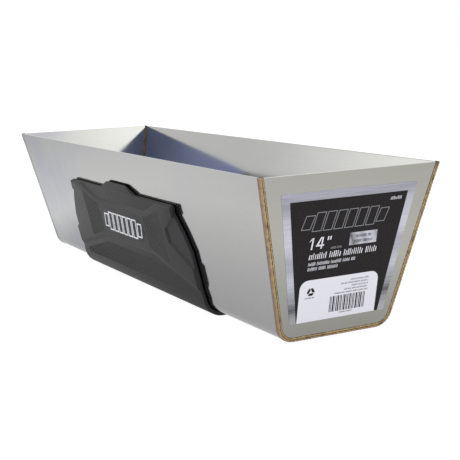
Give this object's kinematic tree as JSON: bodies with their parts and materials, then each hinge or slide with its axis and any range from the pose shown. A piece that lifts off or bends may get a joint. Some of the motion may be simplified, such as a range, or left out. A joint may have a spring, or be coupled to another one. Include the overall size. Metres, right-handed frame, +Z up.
{
  "type": "mud pan",
  "caption": "Tapered sheet-steel mud pan with leaning welded end plates, an end label and a slip-on rubber saddle grip with a thumb tab.",
  "frame": {"origin": "under the middle of the pan, at the height of the grip's underside, on which the pan stands", "axes": "+X along the pan to the labelled end, +Y across it away from the front emblem, +Z up out of the open rim"},
  "size_m": [0.3568, 0.1032, 0.0866],
  "materials": {
    "sheet_steel": "fine brushed, satin",
    "weld_bead": "heat-tinted straw and brown weld metal",
    "label_film": "printed film, semi-gloss",
    "spring_core": "dull black",
    "cover_rubber": "matte, moulded ribs",
    "emblem_inlay": "pale raised outlines on a dark plate"
  },
  "bodies": {
    "grip": {"grip_core": "spring_core", "grip_cover": "cover_rubber", "front_emblem": "emblem_inlay", "back_emblem": "emblem_inlay"},
    "pan": {"trough": "sheet_steel", "label_end_plate": "sheet_steel", "plain_end_plate": "sheet_steel", "label_end_weld": "weld_bead", "plain_end_weld": "weld_bead", "end_label": "label_film"}
  },
  "joints": [
    {"name": "pan_lift", "type": "slide", "parent": "grip", "child": "pan", "axis": [0, 0, 1], "range_m": [0, 0.1]}
  ]
}
